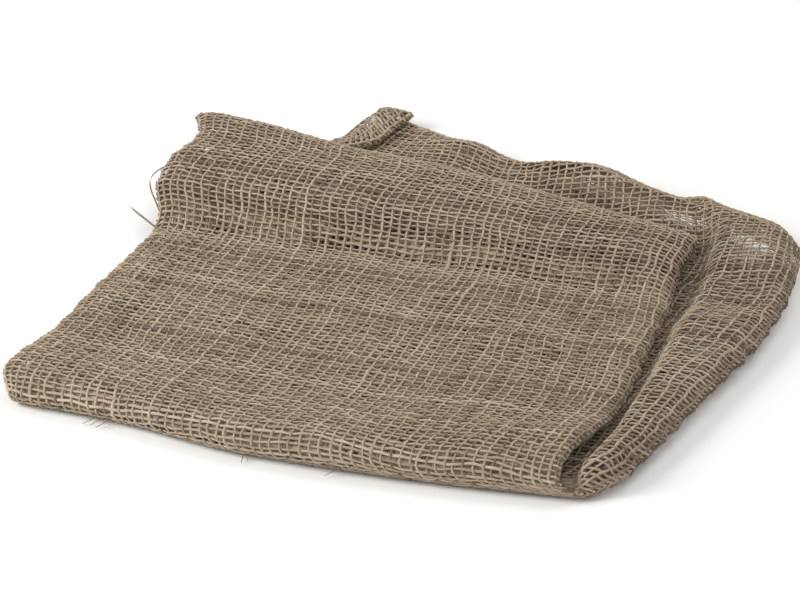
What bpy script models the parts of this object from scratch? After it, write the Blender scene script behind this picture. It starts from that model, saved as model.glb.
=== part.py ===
"""A jute plant cover: a flat tube of open jute cloth, closed at one end, folded and laid down.

The cover is one sheet of cloth. Its two plies, joined by a round turn down each side, run from the closed
end along the ground to the front fold, back over the top, up over a soft hump and in under it to the mouth.
The right-hand side of the lower run spreads out beyond the top one as a plump roll, and a strip of its left
side is turned over at the back corner. Lengths in the tables are millimetres; the model is in metres.
"""

import bmesh
import bpy
import numpy as np

MM = 0.001

# The cloth and the way its two plies lie.
CLOTH_THICKNESS = 1.5
SIDE_TURN_HEIGHT = 3.0      # distance between the plies where they turn into each other down the left side
SHOULDER_WIDTH = 13.0       # how wide the rounding beside that turn is
SMALLEST_GAP = 3.0          # the least distance between the plies anywhere
END_ROUNDING = 16.0         # width over which the closed end rounds off into the sides
COVER_WIDTH = 300.0         # across the flat tube
LEFT_RISE = (0.16, 0.36)    # shares of the width between which the left gap becomes the middle one
RIGHT_RISE = (0.75, 1.0)
PACK_RISE = 0.30            # share of the plump roll's width over which it rises
LEAST_PACK = 0.001          # a roll that is a smaller share of the width than this counts as none

# How finely the sheet is divided: distances of the close columns from each side, the columns between
# them and the points around each side turn.
LEFT_COLUMNS = (0.0, 1.5, 5.0, 9.0, 13.0, 17.0, 20.5, 24.0, 28.0, 46.0)
RIGHT_COLUMNS = (56.0, 42.0, 30.0, 19.0, 11.0, 5.0, 1.5, 0.0)
MIDDLE_COLUMNS = 5
TURN_STEPS = 2

# One row for each line across the cover, from the closed end to the mouth: where its left and right
# ends lie, how far back and how high its left end, middle and right end are, and the number of parts
# that the cloth from it to the next line is divided into.
FOLD_COLUMNS = ("name", "x_left", "x_right", "y_left", "y_mid", "y_right", "z_left", "z_mid", "z_right",
                "parts")
FOLD_LINES = (
    ("closed end",     24, 328,   401, 350, 290,   0.75, 0.75, 0.75, 1),
    ("back ridge",     22, 332,   390, 338, 278,   0.75, 0.75, 0.75, 2),
    ("back face",      20, 335,   376, 322, 258,   0.75, 0.75, 0.75, 2),
    ("behind hump",    19, 337,   356, 304, 238,   0.75, 0.75, 0.75, 4),
    ("under hump",     16, 339,   325, 284, 212,   0.75, 0.75, 0.75, 3),
    ("under heel",     14, 338,   303, 266, 204,   0.75, 0.75, 0.75, 2),
    ("lower back",      6, 335,   200, 182, 165,   0.75, 0.75, 0.75, 1),
    ("lower middle",    1, 324,   120, 110, 104,   0.75, 0.75, 0.75, 1),
    ("lower front",    -1, 314,   50, 42, 41,      0.75, 0.75, 0.75, 1),
    ("underside",      -2, 305,   10, -7, 6,       0.75, 0.75, 0.75, 1),
    ("nose foot",      -4, 296,   -6, -18, -5,     1.8, 2.0, 2.0,    2),
    ("nose",           -4, 286,   -9, -21, -9,     8.5, 8.5, 9.0,    2),
    ("nose brow",      -6, 284,   0, -14, 1,       15, 14.5, 16.5,   2),
    ("ridge",          -7, 287,   16, 0, 22,       17, 16, 20.5,     2),
    ("behind ridge",   -7, 290,   38, 26, 44,      14.5, 13.5, 17.5, 1),
    ("top front",      -6, 292,   62, 56, 68,      12.7, 12, 14.5,   1),
    ("top middle",     -7, 291,   108, 105, 108,   13.2, 12.7, 14.3, 1),
    ("top back",       -8, 288,   152, 152, 150,   12, 12.6, 14.2,   1),
    ("before crease",  -9, 286,   186, 190, 184,   11.5, 11.5, 14,   1),
    ("crease",        -10, 285,   197, 201, 194,   12, 11.5, 14,     1),
    ("hump foot",     -12, 284,   206, 211, 203,   19, 18, 16.5,     1),
    ("hump face",     -19, 283,   221, 228, 216,   28, 25, 19.5,     1),
    ("hump brow",     -20, 282,   245, 247, 229,   35, 30, 22,       1),
    ("hump top",      -17, 283,   270, 268, 243,   37.0, 31.5, 22.5, 2),
    ("hump shoulder", -22, 284,   296, 284, 257,   39.5, 30.5, 21.5, 2),
    ("hump back",     -22, 283,   307, 294, 265,   33, 25, 18.5,     2),
    ("hump heel",     -20, 280,   307, 296, 266,   20, 16, 12.5,     2),
    ("tuck",          -20, 272,   297, 286, 258,   11, 9.5, 7.8,     1),
    ("tuck rise",     -21, 266,   289, 276, 250,   15, 13, 8.0,      1),
    ("tuck top",      -21, 264,   266, 261, 242,   22, 20, 8.0,      1),
    ("tuck fall",     -20, 264,   244, 245, 234,   18.5, 17.5, 7.6,  1),
    ("mouth",         -18, 264,   220, 223, 226,   7.5, 7.5, 7.0,    1),
)
LOWER_RUN_LINES = 9         # the rows before the front fold, which lie flat on the ground

# The distance between the plies and how far the outer one sinks beside its sides, at some of those
# lines. pack_from is the share of the width where the plump right-hand roll begins; turn_right and
# shoulder_right are the side turn's height and the width of the rounding beside it on the right.
PLY_COLUMNS = ("name", "gap_left", "gap_mid", "gap_right", "sink_left", "sink_right", "pack_from",
               "turn_right", "shoulder_right")
PLY_LINES = (
    ("closed end",     4.0, 11.0, 18.5,  1.0, 2.6,  0.77,   12.0, 13.0),
    ("back ridge",     4.5, 17.0, 22.8,  1.0, 2.6,  0.79,   13.0, 13.0),
    ("back face",      4.2, 11.5, 21.5,  1.0, 3.2,  0.832,  12.0, 16.0),
    ("behind hump",    4.0, 6.0, 18.5,   1.0, 3.2,  0.832,  11.0, 17.0),
    ("under hump",     3.8, 4.0, 13.5,   1.0, 3.2,  0.842,  9.0, 17.0),
    ("lower back",     3.5, 3.5, 15.0,   1.0, 3.2,  0.862,  8.5, 16.0),
    ("lower middle",   3.5, 3.5, 14.5,   1.0, 3.2,  0.907,  8.5, 15.0),
    ("lower front",    3.5, 3.5, 14.0,   1.0, 3.0,  0.938,  7.5, 13.0),
    ("underside",      3.5, 3.5, 12.5,   0.4, 2.0,  0.950,  6.5, 11.0),
    ("nose foot",      3.4, 3.4, 3.4,    0.5, 0.0,  1.0,    3.0, 13.0),
    ("nose",           3.4, 3.4, 3.4,    1.0, 0.0,  1.0,    3.0, 13.0),
    ("nose brow",      3.6, 3.6, 4.2,    2.0, 0.6,  1.0,    4.0, 13.0),
    ("ridge",          4.0, 4.0, 5.5,    3.0, 2.4,  1.0,    5.0, 13.0),
    ("top back",       4.0, 4.0, 5.5,    3.4, 2.2,  1.0,    5.0, 13.0),
    ("crease",         4.0, 4.0, 5.5,    3.4, 2.2,  1.0,    5.0, 13.0),
    ("hump foot",      4.6, 4.0, 5.5,    3.6, 3.4,  1.0,    5.5, 17.0),
    ("hump face",      5.0, 4.0, 5.5,    4.0, 4.6,  1.0,    5.5, 24.0),
    ("hump brow",      5.0, 4.0, 4.8,    4.0, 5.2,  1.0,    4.8, 26.0),
    ("hump top",       5.0, 4.0, 4.2,    4.0, 5.0,  1.0,    4.2, 26.0),
    ("hump shoulder",  5.0, 4.0, 3.4,    3.4, 3.6,  1.0,    3.4, 22.0),
    ("hump back",      5.0, 4.0, 3.0,    3.0, 0.3,  1.0,    3.0, 13.0),
    ("hump heel",      4.0, 4.0, 3.0,    2.0, 0.2,  1.0,    3.0, 13.0),
    ("tuck",           3.5, 3.5, 3.0,    0.5, 0.2,  1.0,    3.0, 13.0),
    ("mouth",          3.0, 3.0, 3.0,    0.4, 0.4,  1.0,    3.0, 13.0),
)

# Soft unevenness: where it is centred, how far it reaches along x and y, and how much it lifts the
# cloth (the upper ply alone on the lower run) or draws it back.
SWELL_COLUMNS = ("run", "x", "y", "reach_x", "reach_y", "lift", "draw_back")
SWELLS = (
    ("lower", 64, 395, 50, 60, 0.0, 13.0),
    ("lower", 92, 396, 26, 26, 1.5, 0.0),
    ("lower", 146, 350, 34, 40, -5.5, 0.0),
    ("lower", 210, 338, 46, 44, 8.0, 0.0),
    ("lower", 256, 318, 36, 50, 4.0, 0.0),
    ("lower", 318, 203, 46, 28, -3.0, 0.0),
    ("lower", 312, 168, 46, 16, 1.6, 0.0),
    ("lower", 306, 12, 20, 34, 4.0, 0.0),
    ("upper", 60, 100, 90, 16, 0.8, 0.0),
    ("upper", 240, 120, 60, 14, 1.2, 0.0),
    ("upper", 60, 0, 75, 60, 0.0, 7.0),
    ("upper", 70, 290, 60, 40, -2.5, 0.0),
)

# The strip along the left side that is turned over on top at the back corner: its width, how much of it
# goes into the bend, the height of its middle while it is flat, and where along y it starts and has its
# full width.
STRIP_WIDTH = 28.0
STRIP_BEND = 11.0
STRIP_MIDDLE_HEIGHT = 2.6
STRIP_STARTS_Y, STRIP_WIDE_Y = 298.0, 362.0


def table(rows, columns):
    """The numbers of a table, as one array for each named column."""
    return {name: np.array([row[place] for row in rows], dtype=float)
            for place, name in enumerate(columns) if not isinstance(rows[0][place], str)}


def soft_step(start, end, value):
    """Rises from 0 to 1 between start and end, level at both."""
    share = np.clip((value - start) / (end - start), 0.0, 1.0)
    return share * share * (3.0 - 2.0 * share)


def knots(lines):
    """How far along the fold each line lies, by the square root of the distance between lines."""
    steps = np.hypot(np.diff(lines["y_mid"]), np.diff(lines["z_mid"]))
    return np.concatenate(([0.0], np.cumsum(np.sqrt(steps))))


def curve_through(places, values, wanted):
    """A smooth curve through the values at the given places, read at the wanted ones."""
    gaps = np.diff(places)
    slopes = np.diff(values) / gaps
    tangents = np.concatenate(([slopes[0]],
                               (slopes[:-1] * gaps[1:] + slopes[1:] * gaps[:-1]) / (gaps[1:] + gaps[:-1]),
                               [slopes[-1]]))
    before = np.clip(np.searchsorted(places, wanted, side="right") - 1, 0, len(places) - 2)
    gap = gaps[before]
    share = (wanted - places[before]) / gap
    from_before = values[before] * (1 + 2 * share) + tangents[before] * gap * share
    from_after = values[before + 1] * (3 - 2 * share) - tangents[before + 1] * gap * (1 - share)
    return from_before * (1 - share) ** 2 + from_after * share ** 2


def section_places(lines, along):
    """The lines' own places along the fold, and those of the parts between them."""
    places = [along[0]]
    for row in range(len(along) - 1):
        places.extend(np.linspace(along[row], along[row + 1], int(lines["parts"][row]) + 1)[1:])
    return np.array(places)


def column_shares():
    """Shares of the width, closer together where the sides turn."""
    left = np.array(LEFT_COLUMNS) / COVER_WIDTH
    right = 1.0 - np.array(RIGHT_COLUMNS) / COVER_WIDTH
    middle = np.linspace(left[-1], right[0], MIDDLE_COLUMNS + 2)[1:-1]
    return np.concatenate((left, middle, right))


def swell(row, x, y):
    """A soft mound of height 1 in the middle, gone at its reach."""
    away = ((x - row["x"]) / row["reach_x"]) ** 2 + ((y - row["y"]) / row["reach_y"]) ** 2
    return np.clip(1.0 - away, 0.0, 1.0) ** 2


def ply_distances(along, places):
    """The ply table's columns, read in straight steps between its lines."""
    names = [row[0] for row in FOLD_LINES]
    known = along[[names.index(row[0]) for row in PLY_LINES]]
    return {name: np.interp(places, known, values)[:, None]
            for name, values in table(PLY_LINES, PLY_COLUMNS).items()}


def outer_ply(shares, places):
    """The outer ply with square sides, the distance to the inner one and how it rounds off at the sides."""
    lines = table(FOLD_LINES, FOLD_COLUMNS)
    along = knots(lines)
    at = {name: curve_through(along, values, places)[:, None] for name, values in lines.items()}
    at.update(ply_distances(along, places))
    across = shares[None, :]
    toward_left = (1 - across) * (1 - 2 * across)
    toward_mid = 4 * across * (1 - across)
    toward_right = across * (2 * across - 1)
    x = at["x_left"] + (at["x_right"] - at["x_left"]) * across
    y = at["y_left"] * toward_left + at["y_mid"] * toward_mid + at["y_right"] * toward_right
    z = at["z_left"] * toward_left + at["z_mid"] * toward_mid + at["z_right"] * toward_right

    left_gap = at["gap_left"] + (at["gap_mid"] - at["gap_left"]) * soft_step(*LEFT_RISE, across)
    pack_width = 1.0 - at["pack_from"]
    in_pack = np.clip((across - at["pack_from"]) / np.maximum(pack_width, LEAST_PACK), 0.0, 1.0)
    in_side = np.where(pack_width > LEAST_PACK, soft_step(0.0, PACK_RISE, in_pack),
                       soft_step(*RIGHT_RISE, across))
    right_gap = at["gap_mid"] + (at["gap_right"] - at["gap_mid"]) * in_side
    gap = np.where(across < 0.5, left_gap, right_gap)

    on_lower = (places < along[LOWER_RUN_LINES])[:, None]
    start_x, start_y = x, y
    for values in SWELLS:
        row = dict(zip(SWELL_COLUMNS, values))
        mound = swell(row, start_x, start_y)
        if row["run"] == "lower":
            gap = gap + np.where(on_lower, mound * row["lift"], 0.0)
            y = y + np.where(on_lower, mound * row["draw_back"], 0.0)
        else:
            y = y + mound * row["draw_back"]
            z = z + np.where(on_lower, 0.0, mound * row["lift"])
    sink = np.where(across < 0.5, at["sink_left"], at["sink_right"])
    turn = np.where(across < 0.5, SIDE_TURN_HEIGHT, at["turn_right"])
    shoulder = np.where(across < 0.5, SHOULDER_WIDTH, at["shoulder_right"])
    return np.stack((x, y, np.maximum(z, CLOTH_THICKNESS / 2)), axis=-1), gap, sink, turn, shoulder


def unit(vectors):
    return vectors / np.linalg.norm(vectors, axis=-1, keepdims=True)


def plies(shares, places):
    """Both plies with rounded shoulders, and the directions across and out of them."""
    points, gap, sink, turn, shoulder = outer_ply(shares, places)
    across = unit(np.gradient(points, axis=1))
    along = unit(np.gradient(points, axis=0))
    outward = unit(np.cross(across, along))
    width = np.linalg.norm(points[:, -1] - points[:, 0], axis=-1)[:, None]
    to_side = np.minimum(shares, 1.0 - shares)[None, :] * width
    inside = np.clip(to_side / shoulder, 0.0, 1.0)
    rounding = np.sqrt(1.0 - (1.0 - inside) ** 2)
    drop = sink * (1.0 - rounding)
    gap = np.maximum(turn + (gap - turn) * rounding, SMALLEST_GAP)
    outer = points - outward * drop[..., None]
    inner = outer - outward * gap[..., None]
    return outer, inner, across, to_side


def side_turn(outer, inner, sideways):
    """The half round that joins the plies down one side, from the outer ply to the inner one."""
    middle = (outer + inner) / 2
    radius = np.linalg.norm(outer - inner, axis=-1, keepdims=True) / 2
    up = unit(outer - inner)
    out = unit(sideways - np.sum(sideways * up, axis=-1, keepdims=True) * up)
    angles = np.linspace(0.0, np.pi, TURN_STEPS + 2)[1:-1]
    return np.stack([middle + radius * (np.cos(a) * up + np.sin(a) * out) for a in angles], axis=1)


def turn_strip_over(points, left_edge):
    """Bends the strip beside the left edge up and over on top of the lower run."""
    x, y, z = points[..., 0], points[..., 1], points[..., 2]
    width = STRIP_WIDTH * soft_step(STRIP_STARTS_Y, STRIP_WIDE_Y, y)
    bend_x = left_edge + width
    beyond = bend_x - x
    radius = STRIP_BEND / np.pi
    angle = np.clip(beyond, 0.0, STRIP_BEND) / radius
    flat_part = np.clip(beyond - STRIP_BEND, 0.0, None)
    from_axis = STRIP_MIDDLE_HEIGHT + radius - z
    new_x = bend_x - from_axis * np.sin(angle) - flat_part * np.cos(angle)
    new_z = STRIP_MIDDLE_HEIGHT + radius - from_axis * np.cos(angle) + flat_part * np.sin(angle)
    on_strip = (beyond > 0) & (width > 0)
    return np.stack((np.where(on_strip, new_x, x), y, np.where(on_strip, new_z, z)), axis=-1)


def closed_end(outer, inner, left, right, backward, to_side):
    """Rows of points that join the two plies around the closed end, without its four edges."""
    angles = np.linspace(0.0, np.pi, TURN_STEPS + 2)[1:-1]
    bulge = np.sqrt(1.0 - (1.0 - np.clip(to_side / END_ROUNDING, 0.0, 1.0)) ** 2)
    bulge = (bulge * np.linalg.norm(outer - inner, axis=-1) / 2)[:, None]
    rows = []
    for step, angle in enumerate(angles):
        row = outer + (inner - outer) * (1 - np.cos(angle)) / 2 + backward * bulge * np.sin(angle)
        row[0], row[-1] = left[step], right[step]
        rows.append(row)
    return np.array(rows)


def add_grid(mesh, rows, flip=False):
    """Joins rows of vertices with four-sided faces."""
    for near, far in zip(rows[:-1], rows[1:]):
        for place in range(len(near) - 1):
            corners = (near[place], near[place + 1], far[place + 1], far[place])
            mesh.faces.new(corners[::-1] if flip else corners)


def cover_mesh():
    """The middle surface of the cloth: a flat tube with one closed end."""
    shares = column_shares()
    lines = table(FOLD_LINES, FOLD_COLUMNS)
    along = knots(lines)
    places = section_places(lines, along)
    outer, inner, across, to_side = plies(shares, places)
    right = side_turn(outer[:, -1], inner[:, -1], across[:, -1])
    left = side_turn(outer[:, 0], inner[:, 0], -across[:, 0])
    loops = np.concatenate((outer, right, inner[:, ::-1], left[:, ::-1]), axis=1)
    backward = unit(outer[0] - outer[1])
    end = closed_end(outer[0], inner[0], left[0], right[0], backward, to_side[0])
    lower_run = places < along[LOWER_RUN_LINES]
    left_edge = curve_through(along, lines["x_left"], places)[lower_run, None]
    loops[lower_run] = turn_strip_over(loops[lower_run], left_edge)
    end = turn_strip_over(end, left_edge[0])
    everything = np.concatenate((loops.reshape(-1, 3), end.reshape(-1, 3)))
    middle = (everything.min(axis=0) + everything.max(axis=0)) / 2
    shift = np.array((middle[0], middle[1], 0.0))

    mesh = bmesh.new()
    rings = [[mesh.verts.new((point - shift) * MM) for point in loop] for loop in loops]
    add_grid(mesh, [ring + ring[:1] for ring in rings])
    count = len(shares)
    first = rings[0]
    left_side = first[:-TURN_STEPS - 1:-1]
    right_side = first[count:count + TURN_STEPS]
    end_rows = [first[:count]]
    for step, row in enumerate(end):
        inside = [mesh.verts.new((point - shift) * MM) for point in row[1:-1]]
        end_rows.append([left_side[step]] + inside + [right_side[step]])
    end_rows.append(first[2 * count + TURN_STEPS - 1:count + TURN_STEPS - 1:-1])
    add_grid(mesh, end_rows, flip=True)
    bmesh.ops.recalc_face_normals(mesh, faces=mesh.faces)
    return mesh


def jute_material():
    material = bpy.data.materials.new("jute")
    material.use_nodes = True
    shader = material.node_tree.nodes["Principled BSDF"]
    shader.inputs["Base Color"].default_value = (0.29, 0.22, 0.145, 1.0)
    shader.inputs["Roughness"].default_value = 0.95
    shader.inputs["Metallic"].default_value = 0.0
    return material


def clear_scene():
    for item in list(bpy.data.objects):
        bpy.data.objects.remove(item, do_unlink=True)


def build_cover():
    """One object: the cloth's middle surface, thickened, with its twisted four-sided faces split evenly."""
    data = bpy.data.meshes.new("jute_cover")
    mesh = cover_mesh()
    mesh.to_mesh(data)
    mesh.free()
    data.shade_smooth()
    data.materials.append(jute_material())
    cover = bpy.data.objects.new("jute_cover", data)
    bpy.context.scene.collection.objects.link(cover)
    thickness = cover.modifiers.new("cloth thickness", "SOLIDIFY")
    thickness.thickness = CLOTH_THICKNESS * MM
    thickness.offset = 0.0
    split = cover.modifiers.new("three-sided faces", "TRIANGULATE")
    split.quad_method = "BEAUTY"
    return cover


clear_scene()
build_cover()
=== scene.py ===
# %% [markdown]
# # A jute plant cover, woven yarn by yarn
#
# The real cover is a flat tube of undyed jute, closed at one end, that has been folded once across and laid
# down. Its cloth is an open plain weave: soft, hairy yarns about a millimetre thick with square holes
# several times as wide between them. A smooth sheet with a picture of a weave would lose those holes, so
# this lesson first works out the folded sheet as a surface, and then lays every yarn along it, over and
# under.
#
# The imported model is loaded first. Everything below is placed in its frame, in metres.

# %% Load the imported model
import math
from functools import partial

import bpy
import numpy as np
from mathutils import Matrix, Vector


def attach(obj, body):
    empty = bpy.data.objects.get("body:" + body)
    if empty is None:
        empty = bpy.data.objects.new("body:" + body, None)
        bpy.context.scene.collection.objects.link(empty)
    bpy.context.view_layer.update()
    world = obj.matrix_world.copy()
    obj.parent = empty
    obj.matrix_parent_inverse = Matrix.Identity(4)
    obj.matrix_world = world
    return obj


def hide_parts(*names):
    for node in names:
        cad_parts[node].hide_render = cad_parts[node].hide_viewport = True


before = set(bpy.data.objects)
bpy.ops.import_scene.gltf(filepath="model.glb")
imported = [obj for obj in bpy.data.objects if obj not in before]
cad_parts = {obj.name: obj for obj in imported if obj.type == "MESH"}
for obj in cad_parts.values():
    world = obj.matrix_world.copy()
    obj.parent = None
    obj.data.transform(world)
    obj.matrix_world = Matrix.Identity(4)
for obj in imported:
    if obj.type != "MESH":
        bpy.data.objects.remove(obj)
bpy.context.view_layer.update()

MM = 0.001


def put(name, data):
    """A new object in the scene, for a mesh, a light or a camera."""
    thing = bpy.data.objects.new(name, data)
    bpy.context.scene.collection.objects.link(thing)
    return thing


# %% [markdown]
# ## The sheet and its folds
#
# Cloth that lies in folds can be drawn as a section that runs back and forth. One row of this table stands
# for one line across the cover, from the closed end along the ground, round the front fold, back over the
# top, over the hump and in under it to the mouth. It is the table that the solid model was made with. A
# smooth curve through the rows gives the sheet between them.
#
# The solid model needs room between its plies, so that its two walls stay apart. Real plies of jute all but
# touch. The visual model keeps the outer ply where it is and halves that gap in the top run and the hump.

# %% The fold lines
CLOTH_THICKNESS = 1.5
SIDE_TURN_HEIGHT = 3.0      # distance between the plies where they turn into each other down each side
SHOULDER_WIDTH = 13.0       # how wide the rounding beside that turn is
SMALLEST_GAP = 3.0          # the least distance between the plies anywhere
END_ROUNDING = 16.0         # width over which the closed end rounds off into the sides
COVER_WIDTH = 300.0         # across the flat tube
LEFT_RISE = (0.16, 0.36)    # shares of the width between which the left gap becomes the middle one
RIGHT_RISE = (0.75, 1.0)
PACK_RISE = 0.30            # share of the plump roll's width over which it rises
LEAST_PACK = 0.001          # a roll narrower than this share of the cover is none
PLIES_CLOSER = 0.5          # how much closer the plies of the top run and the hump lie than the solid's do

FOLD_COLUMNS = ("x_left", "x_right", "y_left", "y_mid", "y_right", "z_left", "z_mid", "z_right")
FOLD_LINES = """
closed end     24 328   401 350 290   0.75 0.75 0.75
back ridge     22 332   390 338 278   0.75 0.75 0.75
back face      20 335   376 322 258   0.75 0.75 0.75
behind hump    19 337   356 304 238   0.75 0.75 0.75
under hump     16 339   325 284 212   0.75 0.75 0.75
under heel     14 338   303 266 204   0.75 0.75 0.75
lower back      6 335   200 182 165   0.75 0.75 0.75
lower middle    1 324   120 110 104   0.75 0.75 0.75
lower front    -1 314   50 42 41      0.75 0.75 0.75
underside      -2 305   10 -7 6       0.75 0.75 0.75
nose foot      -4 296   -6 -18 -5     1.8 2.0 2.0
nose           -4 286   -9 -21 -9     8.5 8.5 9.0
nose brow      -6 284   0 -14 1       15 14.5 16.5
ridge          -7 287   16 0 22       17 16 20.5
behind ridge   -7 290   38 26 44      14.5 13.5 17.5
top front      -6 292   62 56 68      12.7 12 14.5
top middle     -7 291   108 105 108   13.2 12.7 14.3
top back       -8 288   152 152 150   12 12.6 14.2
before crease  -9 286   186 190 184   11.5 11.5 14
crease        -10 285   197 201 194   12 11.5 14
hump foot     -12 284   206 211 203   19 18 16.5
hump face     -19 283   221 228 216   28 25 19.5
hump brow     -20 282   245 247 229   35 30 22
hump top      -17 283   270 268 243   37.0 31.5 22.5
hump shoulder -22 284   296 284 257   39.5 30.5 21.5
hump back     -22 283   307 294 265   33 25 18.5
hump heel     -20 280   307 296 266   20 16 12.5
tuck          -20 272   297 286 258   11 9.5 7.8
tuck rise     -21 266   289 276 250   15 13 8.0
tuck top      -21 264   266 261 242   22 20 8.0
tuck fall     -20 264   244 245 234   18.5 17.5 7.6
mouth         -18 264   220 223 226   7.5 7.5 7.0
"""
LOWER_RUN_ENDS = "underside"    # the rows before this one lie flat on the ground

PLY_COLUMNS = ("gap_left", "gap_mid", "gap_right", "sink_left", "sink_right", "pack_from", "turn_right",
               "shoulder_right")
PLY_LINES = """
closed end     4.0 11.0 18.5  1.0 2.6  0.77   12.0 13.0
back ridge     4.5 17.0 22.8  1.0 2.6  0.79   13.0 13.0
back face      4.2 11.5 21.5  1.0 3.2  0.832  12.0 16.0
behind hump    4.0 6.0 18.5   1.0 3.2  0.832  11.0 17.0
under hump     3.8 4.0 13.5   1.0 3.2  0.842  9.0 17.0
lower back     3.5 3.5 15.0   1.0 3.2  0.862  8.5 16.0
lower middle   3.5 3.5 14.5   1.0 3.2  0.907  8.5 15.0
lower front    3.5 3.5 14.0   1.0 3.0  0.938  7.5 13.0
underside      3.5 3.5 12.5   0.4 2.0  0.950  6.5 11.0
nose foot      3.4 3.4 3.4    0.5 0.0  1.0    3.0 13.0
nose           3.4 3.4 3.4    1.0 0.0  1.0    3.0 13.0
nose brow      3.6 3.6 4.2    2.0 0.6  1.0    4.0 13.0
ridge          4.0 4.0 5.5    3.0 2.4  1.0    5.0 13.0
top back       4.0 4.0 5.5    3.4 2.2  1.0    5.0 13.0
crease         4.0 4.0 5.5    3.4 2.2  1.0    5.0 13.0
hump foot      4.6 4.0 5.5    3.6 3.4  1.0    5.5 17.0
hump face      5.0 4.0 5.5    4.0 4.6  1.0    5.5 24.0
hump brow      5.0 4.0 4.8    4.0 5.2  1.0    4.8 26.0
hump top       5.0 4.0 4.2    4.0 5.0  1.0    4.2 26.0
hump shoulder  5.0 4.0 3.4    3.4 3.6  1.0    3.4 22.0
hump back      5.0 4.0 3.0    3.0 0.3  1.0    3.0 13.0
hump heel      4.0 4.0 3.0    2.0 0.2  1.0    3.0 13.0
tuck           3.5 3.5 3.0    0.5 0.2  1.0    3.0 13.0
mouth          3.0 3.0 3.0    0.4 0.4  1.0    3.0 13.0
"""

SWELLS = (                  # the run that swells, x, y, reach in x and y, lift and how far it is drawn back
    ("lower", 64, 395, 50, 60, 0.0, 13.0),
    ("lower", 92, 396, 26, 26, 1.5, 0.0),
    ("lower", 146, 350, 34, 40, -5.5, 0.0),
    ("lower", 210, 338, 46, 44, 8.0, 0.0),
    ("lower", 256, 318, 36, 50, 4.0, 0.0),
    ("lower", 318, 203, 46, 28, -3.0, 0.0),
    ("lower", 312, 168, 46, 16, 1.6, 0.0),
    ("lower", 306, 12, 20, 34, 4.0, 0.0),
    ("upper", 60, 100, 90, 16, 0.8, 0.0),
    ("upper", 240, 120, 60, 14, 1.2, 0.0),
    ("upper", 60, 0, 75, 60, 0.0, 7.0),
    ("upper", 70, 290, 60, 40, -2.5, 0.0),
)

STRIP_WIDTH = 28.0          # the strip along the left side that is turned over on top at the back corner
STRIP_BEND = 11.0
STRIP_MIDDLE_HEIGHT = 2.6
STRIP_STARTS_Y, STRIP_WIDE_Y = 298.0, 362.0
print(len(FOLD_LINES.split("\n")) - 2, "fold lines,", len(PLY_LINES.split("\n")) - 2, "ply lines")

# %% [markdown]
# ## From lines to a fine surface
#
# The sheet is worked out about every millimetre and a half along the fold and every one or two millimetres
# across. Each point needs its place and the direction that faces out of the tube, because a yarn that goes
# "over" moves outwards there and one that goes "under" moves inwards.

# %% Curves through the table
ROW_SPACING = 1.5           # between the lines that the fine surface is worked out on
SIDE_STEP, MIDDLE_STEP, FINE_BORDER = 1.0, 2.0, 30.0
TURN_POINTS = 8             # points on each quarter of a side turn
HALF_SAMPLES = 512          # steps across one ply, from the middle of one side turn to that of the other
MIDDLE_SAMPLE = HALF_SAMPLES // 2
END_STEPS = 24              # steps round the closed end
TRIAL_POINTS = 4000         # points on the middle line when it is first measured
TINY = 1e-9                 # the shortest length that is divided by


def table(text, columns):
    """The rows' names, and the numbers as one array for each named column."""
    rows = [line.rsplit(None, len(columns)) for line in text.strip().split("\n")]
    numbers = np.array([row[1:] for row in rows], dtype=float)
    return [row[0] for row in rows], dict(zip(columns, numbers.T.copy()))


def soft_step(start, end, value):
    """Rises from 0 to 1 between start and end, level at both."""
    share = np.clip((value - start) / (end - start), 0.0, 1.0)
    return share * share * (3.0 - 2.0 * share)


def unit(vectors):
    return vectors / np.maximum(np.linalg.norm(vectors, axis=-1, keepdims=True), TINY)


def step_lengths(points, axis=0):
    return np.linalg.norm(np.diff(points, axis=axis), axis=-1)


def run_so_far(steps, axis=0):
    """The length run at each point, from the steps between the points."""
    return np.insert(np.cumsum(steps, axis=axis), 0, 0.0, axis=axis)


def curve_through(places, values, wanted):
    """A smooth curve through the values at the given places, read at the wanted ones."""
    gaps = np.diff(places)
    slopes = np.diff(values) / gaps
    tangents = np.concatenate(([slopes[0]],
                               (slopes[:-1] * gaps[1:] + slopes[1:] * gaps[:-1]) / (gaps[1:] + gaps[:-1]),
                               [slopes[-1]]))
    before = np.clip(np.searchsorted(places, wanted, side="right") - 1, 0, len(places) - 2)
    gap = gaps[before]
    share = (wanted - places[before]) / gap
    from_before = values[before] * (1 + 2 * share) + tangents[before] * gap * share
    from_after = values[before + 1] * (3 - 2 * share) - tangents[before + 1] * gap * (1 - share)
    return from_before * (1 - share) ** 2 + from_after * share ** 2


line_names, lines = table(FOLD_LINES, FOLD_COLUMNS)
# How far along the fold each line lies, by the square root of the distance between lines.
along = run_so_far(np.sqrt(np.hypot(np.diff(lines["y_mid"]), np.diff(lines["z_mid"]))))
place_of = dict(zip(line_names, along))
trial = np.linspace(along[0], along[-1], TRIAL_POINTS)
trial_length = run_so_far(np.hypot(*(np.diff(curve_through(along, lines[name], trial))
                                     for name in ("y_mid", "z_mid"))))
LINE_COUNT = int(trial_length[-1] / ROW_SPACING) + 1
places = np.interp(np.linspace(0.0, trial_length[-1], LINE_COUNT), trial_length, trial)
lower_run = places < place_of[LOWER_RUN_ENDS]
print(f"the cloth is {trial_length[-1]:.0f} mm long down its middle, worked out on {LINE_COUNT} lines")

# %% The two plies
def swell(x, y, middle_x, middle_y, reach_x, reach_y):
    """A soft mound of height 1 in the middle, gone at its reach."""
    away = ((x - middle_x) / reach_x) ** 2 + ((y - middle_y) / reach_y) ** 2
    return np.clip(1.0 - away, 0.0, 1.0) ** 2


def ply_distances():
    """The ply table's columns, read in straight steps between its lines."""
    names, columns = table(PLY_LINES, PLY_COLUMNS)
    known = [place_of[name] for name in names]
    return {name: np.interp(places, known, values)[:, None] for name, values in columns.items()}


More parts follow.
